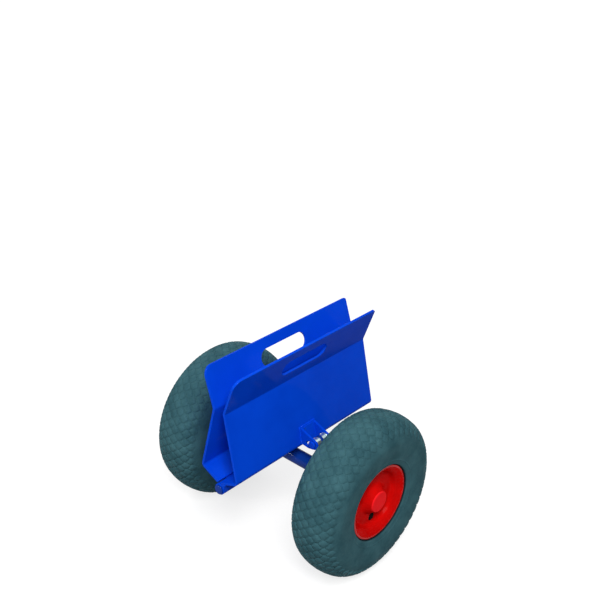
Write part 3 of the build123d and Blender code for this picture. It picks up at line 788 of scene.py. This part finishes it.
def tread_tree():
    """Staggered rows of blocks on a tyre. A block's row gives its place along the section, and
    its column its turn round the wheel."""
    tree, start, stop = new_tree(
        "tread_rows", [("Tyre", "NodeSocketGeometry"), ("Section", "NodeSocketObject"),
                       ("Block", "NodeSocketObject"), ("Rows", "NodeSocketInt"),
                       ("Columns", "NodeSocketInt"), ("Row Pitch", "NodeSocketFloat"),
                       ("Middle", "NodeSocketVector"), ("Radius", "NodeSocketFloat"),
                       ("Unevenness", "NodeSocketFloat"), ("Rubber", "NodeSocketMaterial")])
    link = tree.links.new
    rows, columns = start.outputs["Rows"], start.outputs["Columns"]
    unevenness = start.outputs["Unevenness"]

    def calc(operation, first, second=0.0):
        return math_node(tree, operation, first, second)

    def vector_calc(operation, first, second):
        made = tree_node(tree, "ShaderNodeVectorMath", operation=operation)
        feed(tree, made.inputs[0], first)
        feed(tree, made.inputs[1], second)
        return made.outputs["Vector"]

    index = tree_node(tree, "GeometryNodeInputIndex").outputs["Index"]
    row = calc("FLOOR", calc("DIVIDE", index, columns))
    column = calc("SUBTRACT", index, calc("MULTIPLY", row, columns))
    stagger = calc("MULTIPLY", calc("MODULO", row, 2.0), 0.5)
    turn = calc("MULTIPLY", calc("DIVIDE", calc("ADD", column, stagger), columns), 2 * pi)
    middle_row = calc("DIVIDE", calc("SUBTRACT", rows, 1.0), 2.0)
    across = calc("MULTIPLY", calc("SUBTRACT", row, middle_row), start.outputs["Row Pitch"])

    section = from_object(tree, start.outputs["Section"])
    length = tree_node(tree, "GeometryNodeCurveLength")
    link(section, length.inputs["Curve"])
    sample = tree_node(tree, "GeometryNodeSampleCurve", mode="LENGTH")
    link(section, sample.inputs["Curves"])
    link(calc("ADD", calc("DIVIDE", length.outputs["Length"], 2.0), across),
         sample.inputs["Length"])
    tangent = sample.outputs["Tangent"]

    def turned(vector):
        """A vector of the section turned to its column."""
        made = tree_node(tree, "ShaderNodeVectorRotate", rotation_type="Y_AXIS")
        link(vector, made.inputs["Vector"])
        link(turn, made.inputs["Angle"])
        return made.outputs["Vector"]

    points = tree_node(tree, "GeometryNodePoints")
    link(calc("MULTIPLY", rows, columns), points.inputs["Count"])
    link(vector_calc("ADD", turned(sample.outputs["Position"]), start.outputs["Middle"]),
         points.inputs["Position"])
    axes = tree_node(tree, "FunctionNodeAxesToRotation", primary_axis="Z", secondary_axis="Y")
    link(turned(vector_calc("CROSS_PRODUCT", (1.0, 0.0, 0.0), tangent)),
         axes.inputs["Primary Axis"])
    link(turned(tangent), axes.inputs["Secondary Axis"])
    askew = tree_node(tree, "FunctionNodeAxisAngleToRotation")
    askew.inputs["Axis"].default_value = (0, 0, 1)
    askew_turn = calc("SUBTRACT", uneven_size(tree, unevenness, askew_seed), 1.0)
    link(askew_turn, askew.inputs["Angle"])
    laid = tree_node(tree, "FunctionNodeRotateRotation", rotation_space="LOCAL")
    link(axes.outputs["Rotation"], laid.inputs["Rotation"])
    link(askew.outputs["Rotation"], laid.inputs["Rotate By"])

    section_place = tree_node(tree, "ShaderNodeSeparateXYZ")
    link(sample.outputs["Position"], section_place.inputs["Vector"])
    narrower = calc("DIVIDE", section_place.outputs["Z"], start.outputs["Radius"])
    size = tree_node(tree, "ShaderNodeCombineXYZ")
    link(calc("MULTIPLY", narrower, uneven_size(tree, unevenness, round_seed)), size.inputs["X"])
    link(uneven_size(tree, unevenness, across_seed), size.inputs["Y"])
    size.inputs["Z"].default_value = 1.0

    blocks = tree_node(tree, "GeometryNodeInstanceOnPoints")
    link(points.outputs[0], blocks.inputs["Points"])
    link(from_object(tree, start.outputs["Block"]), blocks.inputs["Instance"])
    link(laid.outputs["Rotation"], blocks.inputs["Rotation"])
    link(size.outputs["Vector"], blocks.inputs["Scale"])
    end_tree(tree, start, stop, blocks.outputs["Instances"], "Rubber", "Tyre")
    return tree


tread_block = bpy.data.objects.new(
    "tread_block", block_mesh(2 * pi * wheel_r / tread_columns, row_pitch, block_gap,
                              block_height - block_top_gap))
scene.collection.objects.link(tread_block)
tread_half = tread_arc(block_height)
tread_section = line_object(
    "tread_section", [[(0, across, radius) for across, radius in both_halves(tread_half)]])
tyre_section = both_halves(tread_half + wall_line() + bead_points)
tread_group = tread_tree()
for side, sign in (("near", -1), ("far", 1)):
    middle_y = sign * track / 2
    worked = bpy.data.objects.new("tyre_work", turned_mesh("tyre_work", tyre_section, middle_y))
    scene.collection.objects.link(worked)
    modifier = worked.modifiers.new("tread", "NODES")
    modifier.node_group = tread_group
    set_inputs(modifier, tread_group, {
        "Section": tread_section, "Block": tread_block, "Rows": tread_rows,
        "Columns": tread_columns, "Row Pitch": row_pitch, "Middle": (0, middle_y, wheel_r),
        "Radius": wheel_r, "Unevenness": tread_unevenness, "Rubber": rubber})
    tyre = settled(worked, side + "_tyre_tread")
    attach(tyre, side + "_wheel")
    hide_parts(side + "_tyre")
for helper in (tread_block, tread_section, weld_drop):
    bpy.data.objects.remove(helper)
